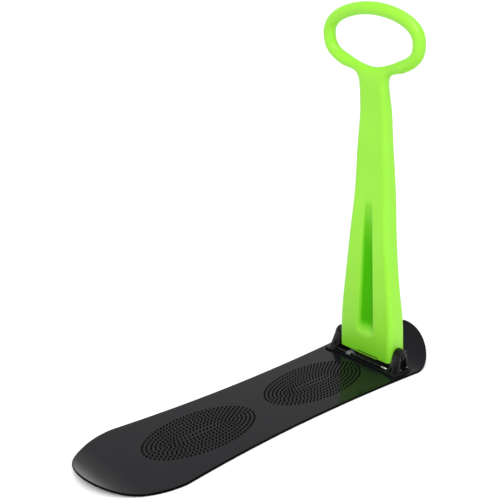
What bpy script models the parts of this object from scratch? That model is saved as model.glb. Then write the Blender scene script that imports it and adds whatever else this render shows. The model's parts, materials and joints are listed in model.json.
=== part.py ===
"""Folding snow scooter: a moulded snow deck with a folding grip handle.

Frame: metres, +X to the nose, +Y to the rider's left, +Z up.  The origin is
the middle of the deck's underside, on the ground.  The handle folds back over
the deck about the pivot bolt; the ribbed toe pedal under it releases the lock.
"""
import math

import bmesh
import bpy
from mathutils import Matrix, Vector

# ------------------------------------------------------------ dimensions
# deck
DECK_LEN = 0.950          # tip to tip
DECK_T = 0.005            # moulded thickness
WAIST_HW = 0.1121         # half width at the waist
TAIL_HW = 0.1310          # widest half width near the tail
NOSE_HW = 0.1261          # widest half width near the nose
TAIL_WIDE_X = -0.3186     # where the tail is widest
NOSE_WIDE_X = 0.3725      # where the nose is widest
TAIL_EXP = 1.99           # roundness of the tail outline
NOSE_EXP = 1.84           # roundness of the nose outline
TIP_HW = 0.010            # half width of the tip facet
TAIL_UP_X = -0.3977       # upturn starts here
TAIL_UP = 0.0179
TAIL_UP_EXP = 2.0
NOSE_UP_X = 0.3680
NOSE_UP = 0.0590
NOSE_UP_EXP = 1.8
CHANNEL_Y = 0.045         # two shallow tracking channels in the underside
CHANNEL_HW = 0.006
CHANNEL_D = 0.0013
CHANNEL_X0, CHANNEL_X1 = -0.350, 0.270

GAP = 0.0003              # between pieces that touch

# hinge bracket
PIVOT_X, PIVOT_Z = 0.3430, 0.0410
BASE_X0, BASE_X1 = 0.3020, 0.3720
TOE_X0 = 0.2965           # the plate's two toes reach further toward the rider
BASE_T = 0.0040
BASE_HW = 0.1130
EAR_IN = 0.0815           # inner face of each ear
EAR_WEB = 0.0890          # outer face of the ear's web
EAR_BOSS = 0.0977         # outer face of the pivot boss
EAR_R = 0.0168
EAR_FOOT_X0, EAR_FOOT_X1 = 0.3158, 0.3640
BOSS_R = 0.0130
RIB_T = 0.0050
FLANGE_T, FLANGE_OUT = 0.0040, 0.1024

# pivot
BOLT_R = 0.0040
BUSH_R = 0.0063
BUSH_FLANGE_R = 0.0105
WASHER_R = 0.0085
WASHER_T = 0.0013

# handle, in its own frame: s along its axis, x toward the nose
HANDLE_X, HANDLE_Z = 0.3482, 0.0223     # bottom centre of the column
TILT = math.radians(-3.35)              # leans back toward the rider
# column stations: height, half width, half depth, offset of the centre toward the nose
STATIONS = [(0.00, 0.0798, 0.0296, -0.0011), (0.10, 0.0778, 0.0258, -0.0016), (0.20, 0.0674, 0.0233, -0.0016),
            (0.30, 0.0571, 0.0228, 0.0016), (0.40, 0.0493, 0.0210, 0.0078), (0.50, 0.0440, 0.0180, 0.0076),
            (0.60, 0.0377, 0.0148, 0.0062), (0.70, 0.0310, 0.0140, 0.0060)]
CORNER_R = 0.0125
WALL = 0.0030
NECK_S = 0.640            # the ring's lower flare starts here
COLUMN_TOP_S = 0.682
RING_S = 0.7538           # widest level of the ring
RING_A = 0.1264           # centre line half width
RING_UP, RING_DOWN = 0.0579, 0.0824
RING_EXP = 1.946          # roundness of the upper half
RING_LOW_Y, RING_LOW_Z = 2.458, 0.5687  # the lower half draws in toward the neck
RING_TUBE = 0.0139
RING_X = -0.0040          # ring plane, measured along the handle's own x
RING_LEAN = 0.0527        # the plane leans: its lower side lies further back
NECK_X = 0.0003
GROOVE_S0, GROOVE_S1 = 0.044, 0.400
GROOVE_HW0, GROOVE_HW1 = 0.0305, 0.0135
GROOVE_D = 0.0090

# handle foot
FOOT_S1 = 0.042
LIP_X0, LIP_X1, LIP_Z, LIP_HW = 0.3225, 0.3280, 0.0168, 0.033
REAR_LIP_X0, REAR_LIP_X1, REAR_LIP_Z = 0.3355, 0.3390, 0.0188

# release pedal
ROD_X, ROD_Z, ROD_R = 0.3115, 0.0112, 0.0018
PEDAL_Y0, PEDAL_Y1 = -0.0610, 0.0800
PEDAL_TUBE_R = 0.0034
CATCH_X0, CATCH_X1, CATCH_R = 0.3233, 0.3326, 0.0321
TAB_Y, TAB_HW = 0.0386, 0.0064
COIL_R, WIRE_R, COIL_TURNS = 0.0028, 0.00065, 9

# fasteners
SCREW_R = 0.0024
SCREW_POS = [(0.3282, 0.1055), (0.3282, -0.1055), (0.3520, 0.1050),
             (0.3520, -0.1050), (0.3662, 0.0400), (0.3662, -0.0400)]
NUT_AF = 0.0080
FOOT_SCREWS = [(0.028, 0.034), (-0.028, 0.034), (0.056, 0.034), (-0.056, 0.034)]

# ------------------------------------------------------------ scene helpers
for old in list(bpy.data.objects):
    bpy.data.objects.remove(old, do_unlink=True)

COLL = bpy.context.scene.collection


def material(name, rgb, rough, metal=0.0):
    m = bpy.data.materials.new(name)
    m.use_nodes = True
    b = m.node_tree.nodes["Principled BSDF"]
    b.inputs["Base Color"].default_value = (*rgb, 1.0)
    b.inputs["Roughness"].default_value = rough
    b.inputs["Metallic"].default_value = metal
    m.diffuse_color = (*rgb, 1.0)
    return m


BLACK = material("black_hdpe", (0.016, 0.016, 0.017), 0.30)
BLACK_NYLON = material("black_nylon", (0.012, 0.012, 0.013), 0.38)
LIME = material("lime_hdpe", (0.33, 0.80, 0.05), 0.42)
GREY = material("grey_plastic", (0.13, 0.13, 0.14), 0.40)
BLACK_STEEL = material("black_steel", (0.030, 0.030, 0.032), 0.32, 0.9)
STEEL = material("zinc_steel", (0.62, 0.62, 0.60), 0.28, 1.0)
NYLON = material("natural_nylon", (0.72, 0.70, 0.64), 0.45)


def obj_from_bm(name, bm, mat=None):
    bmesh.ops.recalc_face_normals(bm, faces=bm.faces[:])
    me = bpy.data.meshes.new(name)
    bm.to_mesh(me)
    bm.free()
    ob = bpy.data.objects.new(name, me)
    COLL.objects.link(ob)
    if mat:
        me.materials.append(mat)
    return ob


def boolean(ob, cutters, op):
    """Apply Boolean modifiers to ob and drop the cutters."""
    for c in cutters:
        m = ob.modifiers.new(op.lower(), "BOOLEAN")
        m.operation = op
        m.solver = "EXACT"
        m.object = c
    bpy.context.view_layer.update()
    dg = bpy.context.evaluated_depsgraph_get()
    me = bpy.data.meshes.new_from_object(ob.evaluated_get(dg))
    ob.modifiers.clear()
    ob.data = me
    me.name = ob.name
    for c in cutters:
        bpy.data.objects.remove(c, do_unlink=True)
    return ob


def finish(ob, mat, smooth_deg=35.0, origin=None):
    me = ob.data
    me.materials.clear()
    me.materials.append(mat)
    for p in me.polygons:
        p.material_index = 0
    me.shade_smooth()
    me.set_sharp_from_angle(angle=math.radians(smooth_deg))
    if origin is not None:
        o = Vector(origin)
        me.transform(Matrix.Translation(-o))
        ob.location = o
    return ob


def loft(bm, rings, cap=True, closed=False):
    """Skin a list of equal rings of points into faces."""
    vs = [[bm.verts.new(p) for p in r] for r in rings]
    n = len(vs[0])
    pairs = list(zip(vs[:-1], vs[1:]))
    if closed:
        pairs.append((vs[-1], vs[0]))
    for a, b in pairs:
        for i in range(n):
            j = (i + 1) % n
            bm.faces.new((a[i], a[j], b[j], b[i]))
    if cap and not closed:
        bm.faces.new(vs[0])
        bm.faces.new(vs[-1])


def loft_obj(name, rings, **kw):
    bm = bmesh.new()
    loft(bm, rings, **kw)
    return obj_from_bm(name, bm)


def box(name, x0, x1, y0, y1, z0, z1):
    r0 = [(x0, y0, z0), (x1, y0, z0), (x1, y1, z0), (x0, y1, z0)]
    r1 = [(x0, y0, z1), (x1, y0, z1), (x1, y1, z1), (x0, y1, z1)]
    return loft_obj(name, [r0, r1])


def turned_y(name, profile, cx, cz, segs=24, ring=False):
    """Turn a profile of (radius, y) about the line through (cx, cz) along Y."""
    rings = []
    for r, y in profile:
        rings.append([(cx + r * math.cos(2 * math.pi * k / segs), y,
                       cz + r * math.sin(2 * math.pi * k / segs)) for k in range(segs)])
    return loft_obj(name, rings, closed=ring)


def turned_z(name, profile, cx, cy, segs=20, ring=False):
    rings = []
    for r, z in profile:
        rings.append([(cx + r * math.cos(2 * math.pi * k / segs),
                       cy + r * math.sin(2 * math.pi * k / segs), z) for k in range(segs)])
    return loft_obj(name, rings, closed=ring)


def prism_xz(name, outline, y0, y1):
    return loft_obj(name, [[(x, y0, z) for x, z in outline], [(x, y1, z) for x, z in outline]])


# ------------------------------------------------------------ deck
def deck_half_width(x):
    mid = 0.5 * (TAIL_WIDE_X + NOSE_WIDE_X)
    half = 0.5 * (NOSE_WIDE_X - TAIL_WIDE_X)
    if x < TAIL_WIDE_X:
        u = (TAIL_WIDE_X - x) / (TAIL_WIDE_X + DECK_LEN / 2)
        return max(TIP_HW, TAIL_HW * max(0.0, 1 - u ** TAIL_EXP) ** (1 / TAIL_EXP))
    if x > NOSE_WIDE_X:
        u = (x - NOSE_WIDE_X) / (DECK_LEN / 2 - NOSE_WIDE_X)
        return max(TIP_HW, NOSE_HW * max(0.0, 1 - u ** NOSE_EXP) ** (1 / NOSE_EXP))
    s = (x - mid) / half
    side = TAIL_HW if s < 0 else NOSE_HW
    return WAIST_HW + (side - WAIST_HW) * s * s


def deck_rise(x):
    if x < TAIL_UP_X:
        return TAIL_UP * ((TAIL_UP_X - x) / (TAIL_UP_X + DECK_LEN / 2)) ** TAIL_UP_EXP
    if x > NOSE_UP_X:
        return NOSE_UP * ((x - NOSE_UP_X) / (DECK_LEN / 2 - NOSE_UP_X)) ** NOSE_UP_EXP
    return 0.0


def deck_station(x):
    w, z = deck_half_width(x), deck_rise(x)
    r = DECK_T / 2
    pts = []
    cols = 8
    for i in range(cols + 1):                       # underside, right to left
        pts.append((x, -(w - r) + 2 * (w - r) * i / cols, z))
    for k in (1, 2, 3):                             # left rim
        a = -math.pi / 2 + math.pi * k / 4
        pts.append((x, w - r + r * math.cos(a), z + r + r * math.sin(a)))
    for i in range(cols + 1):                       # top, left to right
        pts.append((x, (w - r) - 2 * (w - r) * i / cols, z + DECK_T))
    for k in (1, 2, 3):
        a = math.pi / 2 + math.pi * k / 4
        pts.append((x, -(w - r) + r * math.cos(a), z + r + r * math.sin(a)))
    return pts


def make_deck():
    h = DECK_LEN / 2
    xs = []
    for k in range(11):                             # tail, crowded to the tip
        a = math.pi / 2 * k / 11
        xs.append(-h + (TAIL_WIDE_X + h) * (1 - math.cos(a)))
    n = 16
    for k in range(n + 1):
        xs.append(TAIL_WIDE_X + (NOSE_WIDE_X - TAIL_WIDE_X) * k / n)
    for k in range(10, -1, -1):
        a = math.pi / 2 * k / 11
        xs.append(h - (h - NOSE_WIDE_X) * (1 - math.cos(a)))
    xs = sorted(set(xs + [TAIL_UP_X, NOSE_UP_X]))
    deck = loft_obj("deck", [deck_station(x) for x in xs])
    cutters = []
    for i, (x, y) in enumerate(SCREW_POS):
        cutters.append(turned_z("c%d" % i, [
            (0.0056, -0.0020), (0.0056, 0.0004), (0.0028, 0.0032), (0.0028, DECK_T + 0.002)], x, y))
    for sgn in (-1, 1):
        y0 = sgn * CHANNEL_Y
        outl = []
        for k in range(9):
            a = -math.pi / 2 + math.pi * k / 8
            outl.append((CHANNEL_X1 + CHANNEL_HW * math.cos(a), y0 + CHANNEL_HW * math.sin(a)))
        for k in range(9):
            a = math.pi / 2 + math.pi * k / 8
            outl.append((CHANNEL_X0 + CHANNEL_HW * math.cos(a), y0 + CHANNEL_HW * math.sin(a)))
        cutters.append(loft_obj("ch", [[(x, y, -0.002) for x, y in outl],
                                       [(x, y, CHANNEL_D) for x, y in outl]]))
    boolean(deck, cutters, "DIFFERENCE")
    return finish(deck, BLACK, 30)


# ------------------------------------------------------------ hinge bracket
def arc_pts(cx, cz, r, a0, a1, n):
    return [(cx + r * math.cos(a0 + (a1 - a0) * k / n), cz + r * math.sin(a0 + (a1 - a0) * k / n))
            for k in range(n + 1)]


def tangent_angle(px, pz, side):
    """Angle on the ear's top circle where a line from (px, pz) touches it."""
    dx, dz = px - PIVOT_X, pz - PIVOT_Z
    d = math.hypot(dx, dz)
    return math.atan2(dz, dx) + side * math.acos(EAR_R / d)


def make_base():
    z0 = DECK_T + GAP
    z1 = z0 + BASE_T
    c = 0.006

    def plate(z):
        y_r = BASE_HW - 0.010                       # the rear corners are drawn in
        y_t = EAR_IN + 0.0015                       # inner side of the toes
        pts = [(TOE_X0 + c, -BASE_HW), (0.352, -BASE_HW), (BASE_X1, -y_r),
               (BASE_X1, y_r), (0.352, BASE_HW), (TOE_X0 + c, BASE_HW),
               (TOE_X0, BASE_HW - c), (TOE_X0, y_t + 0.003), (TOE_X0 + 0.003, y_t), (BASE_X0, y_t),
               (BASE_X0, -y_t), (TOE_X0 + 0.003, -y_t), (TOE_X0, -y_t - 0.003), (TOE_X0, -BASE_HW + c)]
        return [(x, y, z) for x, y in pts]
    base = loft_obj("hinge_base", [plate(z0), plate(z1)])
    adds = []
    zf = z0 + 0.001
    a_front = tangent_angle(EAR_FOOT_X0, z1, -1)
    a_back = tangent_angle(EAR_FOOT_X1, z1, 1)
    a_front = a_front % (2 * math.pi)
    a_back = a_back % (2 * math.pi)
    if a_back > math.pi:
        a_back -= 2 * math.pi
    outline = [(EAR_FOOT_X1, zf), (EAR_FOOT_X1, z1)]
    outline += arc_pts(PIVOT_X, PIVOT_Z, EAR_R, a_back, a_front, 14)
    outline += [(EAR_FOOT_X0, z1), (EAR_FOOT_X0, zf)]
    for sgn in (-1, 1):
        adds.append(prism_xz("web", outline, sgn * EAR_IN, sgn * EAR_WEB))
        adds.append(turned_y("boss", [(BOSS_R, sgn * (EAR_IN + 0.0005)), (BOSS_R, sgn * (EAR_BOSS - 0.001)),
                                      (BOSS_R - 0.001, sgn * EAR_BOSS)], PIVOT_X, PIVOT_Z, 28))
        # front and rear stiffening ribs flare out from the boss to the foot
        fx = PIVOT_X + EAR_R * math.cos(a_front)
        fz = PIVOT_Z + EAR_R * math.sin(a_front)
        bx = PIVOT_X + EAR_R * math.cos(a_back)
        bz = PIVOT_Z + EAR_R * math.sin(a_back)
        for (tx, tz, lx, out, d) in ((fx, fz, EAR_FOOT_X0, BASE_HW - 0.0050, 1),
                                     (bx, bz, EAR_FOOT_X1, EAR_BOSS + 0.0018, -1)):
            top_out = FLANGE_OUT - 0.0004 if d > 0 else EAR_BOSS - 0.0012
            lo = [(lx, sgn * (EAR_WEB - 0.003), zf), (lx + d * RIB_T, sgn * (EAR_WEB - 0.003), zf),
                  (lx + d * RIB_T, sgn * out, zf), (lx, sgn * out, zf)]
            li = [(lx, sgn * (EAR_WEB - 0.003), z1), (lx + d * RIB_T, sgn * (EAR_WEB - 0.003), z1),
                  (lx + d * RIB_T, sgn * out, z1), (lx, sgn * out, z1)]
            hi = [(tx, sgn * (EAR_WEB - 0.003), tz), (tx + d * RIB_T, sgn * (EAR_WEB - 0.003), tz),
                  (tx + d * RIB_T, sgn * top_out, tz), (tx, sgn * top_out, tz)]
            adds.append(loft_obj("rib", [lo, li, hi]))
        # a wide flange follows the front edge and wraps over the ear's top
        fl = [(EAR_FOOT_X0, zf), (EAR_FOOT_X0, z1)]
        a_end = math.radians(62)
        fl += arc_pts(PIVOT_X, PIVOT_Z, EAR_R, a_front, a_end, 12)
        fl += arc_pts(PIVOT_X, PIVOT_Z, EAR_R - FLANGE_T, a_end, a_front, 10)
        fl += [(EAR_FOOT_X0 + FLANGE_T + 0.0006, z1), (EAR_FOOT_X0 + FLANGE_T + 0.0006, zf)]
        adds.append(prism_xz("flange", fl, sgn * (EAR_WEB - 0.002), sgn * FLANGE_OUT))
        # a short gusset runs from it down onto the toe
        gus = [(0.3200, zf), (0.3035, zf), (0.3035, z1 + 0.0004), (0.3060, z1 + 0.0016), (0.3100, z1 + 0.0042),
               (0.3140, z1 + 0.0085), (0.3175, z1 + 0.0140), (0.3200, z1 + 0.0145)]
        adds.append(prism_xz("gusset", gus, sgn * 0.0925, sgn * 0.0985))
        # a low cheek on each side holds the end of the pedal's rod
        chk = [(0.3190, zf), (0.3035, zf), (0.3035, z1 + 0.0015), (0.3052, 0.0146), (0.3078, 0.0160), (0.3190, 0.0164)]
        adds.append(prism_xz("cheek", chk, sgn * EAR_IN, sgn * EAR_WEB))
    boolean(base, adds, "UNION")
    cuts = [
        box("front_window", 0.3062, 0.3125, -0.0808, 0.0808, z0 - 0.002, z1 + 0.001),
        box("mid_window", 0.3115, 0.3530, -0.0808, 0.0808, z0 - 0.002, z1 + 0.001),
        box("rear_window", 0.3520, 0.3608, -0.0650, 0.0650, z0 - 0.002, z1 + 0.001),
        turned_y("bore", [(BOLT_R + GAP, -0.2), (BOLT_R + GAP, 0.2)], PIVOT_X, PIVOT_Z, 24),
        turned_y("rodhole", [(ROD_R + GAP, -0.0872), (ROD_R + GAP, 0.0872)], ROD_X, ROD_Z, 16)]
    for i, (x, y) in enumerate(SCREW_POS):
        cuts.append(turned_z("s%d" % i, [(0.0028, -0.002), (0.0028, 0.02)], x, y))
    boolean(base, cuts, "DIFFERENCE")
    return finish(base, BLACK_NYLON, 30)


# ------------------------------------------------------------ handle
UP = Vector((math.sin(TILT), 0, math.cos(TILT)))
NX = Vector((math.cos(TILT), 0, -math.sin(TILT)))
H0 = Vector((HANDLE_X, 0, HANDLE_Z))


def place(x, y, s):
    return H0 + NX * x + UP * s + Vector((0, y, 0))


def unplace(p):
    d = Vector(p) - H0
    return d.dot(NX), d.y, d.dot(UP)


def smooth(t):
    t = min(1.0, max(0.0, t))
    return t * t * (3 - 2 * t)


def station(s, col):
    """Smooth interpolation between the column stations."""
    s = min(max(s, 0.0), STATIONS[-1][0])
    i = min(int(s / 0.1), len(STATIONS) - 2)
    p0, p3 = STATIONS[max(i - 1, 0)][col], STATIONS[min(i + 2, len(STATIONS) - 1)][col]
    p1, p2 = STATIONS[i][col], STATIONS[i + 1][col]
    t = (s - STATIONS[i][0]) / 0.1
    m1 = 0.5 * (p2 - p0) if i else p2 - p1
    m2 = 0.5 * (p3 - p1) if i + 2 < len(STATIONS) else p2 - p1
    return ((2 * t ** 3 - 3 * t * t + 1) * p1 + (t ** 3 - 2 * t * t + t) * m1
            + (3 * t * t - 2 * t ** 3) * p2 + (t ** 3 - t * t) * m2)


def half_width(s):
    w = station(s, 1) + 0.0013 * smooth(s / 0.09)
    if s > NECK_S:                                   # flare into the ring
        t = (s - NECK_S) / (COLUMN_TOP_S - NECK_S)
        w += 0.024 * t ** 2.4
    return w


def half_depth(s):
    return station(s, 2) + 0.0010 * smooth((s - 0.52) / 0.10)


def centre_x(s):
    """The column's own bow, brought to the ring's plane at the neck."""
    k = smooth((s - 0.58) / 0.10)
    return (station(s, 3) + 0.0028 * smooth((s - 0.50) / 0.09)) * (1 - k) + NECK_X * k


def groove(y, s):
    """Depth of the tapering recess in the column's rear face."""
    if s <= GROOVE_S0 or s >= GROOVE_S1:
        return 0.0
    t = (s - GROOVE_S0) / (GROOVE_S1 - GROOVE_S0)
    hw = GROOVE_HW0 + (GROOVE_HW1 - GROOVE_HW0) * t
    # rounded lower end, long fade at the top
    end = smooth((s - GROOVE_S0) / 0.044)
    fade = smooth((GROOVE_S1 - s) / 0.170)
    hw *= 0.55 + 0.45 * smooth((s - GROOVE_S0) / 0.022)
    u = abs(y) / hw
    if u >= 1.0:
        return 0.0
    return GROOVE_D * end * fade * smooth((1.0 - u) / 0.48)


FRONT_COLS = 18


def column_ring(s, inset, end_inset=0.0):
    hw = half_width(s) - inset - end_inset
    hd = half_depth(s) - inset - end_inset
    rc = max(0.0015, CORNER_R - inset)
    cx = centre_x(s)
    pts = []
    # rear-facing side (toward the rider), left to right, with the recess
    for i in range(FRONT_COLS + 1):
        y = (hw - rc) - 2 * (hw - rc) * i / FRONT_COLS
        pts.append((-hd + groove(y, s), y))
    for k in (1, 2, 3):                              # corner to the right side
        a = math.pi + math.pi / 2 * k / 4
        pts.append((-(hd - rc) + rc * math.cos(a), -(hw - rc) + rc * math.sin(a)))
    pts.append((-(hd - rc), -hw))
    pts.append(((hd - rc), -hw))
    for k in (1, 2, 3):
        a = -math.pi / 2 + math.pi / 2 * k / 4
        pts.append(((hd - rc) + rc * math.cos(a), -(hw - rc) + rc * math.sin(a)))
    for i in range(4 + 1):
        y = -(hw - rc) + 2 * (hw - rc) * i / 4
        pts.append((hd, y))
    for k in (1, 2, 3):
        a = math.pi / 2 * k / 4
        pts.append(((hd - rc) + rc * math.cos(a), (hw - rc) + rc * math.sin(a)))
    pts.append(((hd - rc), hw))
    pts.append((-(hd - rc), hw))
    for k in (1, 2, 3):
        a = math.pi / 2 + math.pi / 2 * k / 4
        pts.append((-(hd - rc) + rc * math.cos(a), (hw - rc) + rc * math.sin(a)))
    return [place(cx + x, y, s) for x, y in pts]


def ring_path(n):
    """Centre line of the ring grip: a flattened oval in the handle's plane."""
    out = []
    for k in range(6 * n):
        a = 2 * math.pi * k / (6 * n)
        c, s_ = math.cos(a), math.sin(a)
        p = 2.0 / RING_EXP
        if s_ >= 0:
            out.append((RING_A * math.copysign(abs(c) ** p, c), RING_S + RING_UP * s_ ** p))
        else:
            out.append((RING_A * math.copysign(abs(c) ** RING_LOW_Y, c), RING_S - RING_DOWN * abs(s_) ** RING_LOW_Z))
    return even_path(out, n)


def even_path(pts, n):
    """Respace a closed path evenly and round off its sharpest turns."""
    for it in range(6):
        acc = [0.0]
        for a, b in zip(pts, pts[1:] + pts[:1]):
            acc.append(acc[-1] + math.hypot(b[0] - a[0], b[1] - a[1]))
        closed = pts + pts[:1]
        res, j = [], 0
        for k in range(n):
            d = acc[-1] * k / n
            while acc[j + 1] < d:
                j += 1
            t = (d - acc[j]) / max(1e-9, acc[j + 1] - acc[j])
            res.append((closed[j][0] + (closed[j + 1][0] - closed[j][0]) * t,
                        closed[j][1] + (closed[j + 1][1] - closed[j][1]) * t))
        pts = []
        for o, q, r in zip(res[-1:] + res[:-1], res, res[1:] + res[:1]):
            w = smooth((0.050 - abs(q[0])) / 0.030) if q[1] < RING_S else 0.0
            w = 1.0 if it == 0 else w                # the turn at the neck is rounded most
            pts.append(((1 - 0.5 * w) * q[0] + 0.25 * w * (o[0] + r[0]), (1 - 0.5 * w) * q[1] + 0.25 * w * (o[1] + r[1])))
    return pts


def ring_tube(name, r, n=56, m=14):
    path = ring_path(n)
    rings = []
    for k in range(n):
        y0, s0 = path[k - 1]
        y1, s1 = path[(k + 1) % n]
        y, s = path[k]
        t = Vector((y1 - y0, s1 - s0)).normalized()
        nrm = (t.y, -t.x)
        x0 = RING_X + RING_LEAN * (RING_S - s)
        rings.append([place(x0 + r * math.sin(2 * math.pi * j / m),
                            y + nrm[0] * r * math.cos(2 * math.pi * j / m),
                            s + nrm[1] * r * math.cos(2 * math.pi * j / m)) for j in range(m)])
    return loft_obj(name, rings, closed=True)


def column_levels(top):
    lv = [0.0, 0.0015, 0.004, 0.022, GROOVE_S0, 0.052, 0.060, 0.069, 0.080, 0.098]
    s = 0.12
    while s < 0.42:
        lv.append(s)
        s += 0.030
    lv += [0.46, 0.51, 0.56, 0.60, 0.625, NECK_S, 0.655, 0.668]
    return [v for v in lv if v < top - 0.004] + [top]


def local_cyl(name, a, b, r, segs=20, r2=None):
    """Cylinder between two points given in the handle's own frame."""
    pa, pb = place(*a), place(*b)
    d = (pb - pa).normalized()
    u = Vector((0, 1, 0)) if abs(d.y) < 0.9 else NX.copy()
    u = (u - d * u.dot(d)).normalized()
    v = d.cross(u)
    rr = (r, r if r2 is None else r2)
    rings = []
    for p, q in ((pa, rr[0]), (pb, rr[1])):
        rings.append([p + u * q * math.cos(2 * math.pi * k / segs) + v * q * math.sin(2 * math.pi * k / segs)
                      for k in range(segs)])
    return loft_obj(name, rings)


def make_handle():
    outer = []
    for s in column_levels(COLUMN_TOP_S):
        e = {0.0: 0.0040, 0.0015: 0.0014}.get(s, 0.0)      # rounded bottom edge
        outer.append(column_ring(s, 0.0, e))
    h = loft_obj("handle", outer)
    boolean(h, [ring_tube("ring", RING_TUBE)], "UNION")
    inner = [column_ring(s, WALL) for s in [-0.004] + column_levels(COLUMN_TOP_S - WALL)[1:]]
    cav = loft_obj("cavity", inner)
    boolean(cav, [ring_tube("ring_cavity", RING_TUBE - WALL, 56, 12)], "UNION")
    boolean(h, [cav], "DIFFERENCE")
    px, _, ps = unplace((PIVOT_X, 0, PIVOT_Z))
    cuts = [turned_y("bore", [(BUSH_R + GAP, -0.2), (BUSH_R + GAP, 0.2)], PIVOT_X, PIVOT_Z, 24)]
    for y, s in FOOT_SCREWS:
        cuts.append(local_cyl("sc", (0.010, y, s), (0.060, y, s), 0.0026, 16))
    boolean(h, cuts, "DIFFERENCE")
    return finish(h, LIME, 40, (PIVOT_X, 0, PIVOT_Z))


def make_foot():
    inset = WALL + GAP
    rings = [column_ring(s, inset, e) for s, e in ((0.0015, 0.001), (0.003, 0.0), (0.018, 0.0), (0.034, 0.0),
                                                   (FOOT_S1 - 0.001, 0.0), (FOOT_S1, 0.001))]
    f = loft_obj("handle_foot", rings)
    adds = [box("lip", LIP_X0 + 0.0020, LIP_X1, -LIP_HW, LIP_HW, LIP_Z + 0.0002, 0.0280),
            box("lip1", LIP_X0, LIP_X1 - 0.0005, -LIP_HW + 0.0005, LIP_HW - 0.0005, LIP_Z, LIP_Z + 0.0034),
            box("lip2", REAR_LIP_X0, REAR_LIP_X1, -LIP_HW + 0.002, LIP_HW - 0.002, REAR_LIP_Z, 0.0280)]
    boolean(f, adds, "UNION")
    # bores: wide for the bushes at both ends, close round the bolt in the middle
    cuts = [turned_y("b", [(BOLT_R + GAP, -0.2), (BOLT_R + GAP, 0.2)], PIVOT_X, PIVOT_Z, 24),
            turned_y("b2", [(BUSH_R + GAP, -0.2), (BUSH_R + GAP, -0.0560)], PIVOT_X, PIVOT_Z, 24),
            turned_y("b3", [(BUSH_R + GAP, 0.0560), (BUSH_R + GAP, 0.2)], PIVOT_X, PIVOT_Z, 24)]
    for y, s in FOOT_SCREWS:
        cuts.append(local_cyl("sc", (0.0065, y, s), (0.060, y, s), 0.0023, 16))
    boolean(f, cuts, "DIFFERENCE")
    return finish(f, LIME, 30, (PIVOT_X, 0, PIVOT_Z))


# ------------------------------------------------------------ pivot set
def make_pivot():
    out = []
    yw = EAR_BOSS + GAP
    for side, name in ((-1, "right"), (1, "left")):
        w = turned_y("pivot_washer_" + name, [
            (BOLT_R + GAP, side * yw), (WASHER_R, side * yw), (WASHER_R, side * (yw + WASHER_T)),
            (BOLT_R + GAP, side * (yw + WASHER_T))], PIVOT_X, PIVOT_Z, 28, ring=True)
        out.append(finish(w, BLACK_STEEL, 30))
        y_in, y_col, y_out = 0.0565, 0.0802, EAR_IN - GAP
        b = turned_y("pivot_bush_" + name, [
            (BOLT_R + GAP, side * y_in), (BUSH_R, side * y_in), (BUSH_R, side * y_col),
            (BUSH_FLANGE_R, side * y_col), (BUSH_FLANGE_R, side * (y_out - 0.0003)),
            (BUSH_FLANGE_R - 0.0003, side * y_out), (BOLT_R + GAP, side * y_out)],
            PIVOT_X, PIVOT_Z, 28, ring=True)
        out.append(finish(b, NYLON, 30, (PIVOT_X, 0, PIVOT_Z)))
    yh = yw + WASHER_T + GAP
    bolt = turned_y("pivot_bolt", [
        (0.0030, -(yh + 0.0042)), (0.0052, -(yh + 0.0038)), (0.0064, -(yh + 0.0026)), (0.0068, -(yh + 0.0012)),
        (0.0068, -yh), (BOLT_R, -yh), (BOLT_R, 0.1070), (BOLT_R - 0.0007, 0.1080)], PIVOT_X, PIVOT_Z, 24)
    hexr = 0.0029
    hexc = loft_obj("hex", [[(PIVOT_X + hexr * math.cos(math.pi / 3 * k), y, PIVOT_Z + hexr * math.sin(math.pi / 3 * k))
                             for k in range(6)] for y in (-(yh + 0.006), -(yh + 0.0018))])
    boolean(bolt, [hexc], "DIFFERENCE")
    out.append(finish(bolt, BLACK_STEEL, 30))
    rn = 0.0130 / math.sqrt(3)
    nut = loft_obj("pivot_nut", [[(PIVOT_X + rn * math.cos(math.pi / 3 * k), y, PIVOT_Z + rn * math.sin(math.pi / 3 * k))
                                  for k in range(6)] for y in (yh, yh + 0.0062)])
    boolean(nut, [turned_y("nb", [(BOLT_R + GAP, yh - 0.01), (BOLT_R + GAP, yh + 0.02)], PIVOT_X, PIVOT_Z, 24)],
            "DIFFERENCE")
    out.append(finish(nut, BLACK_STEEL, 25))
    return out


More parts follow.
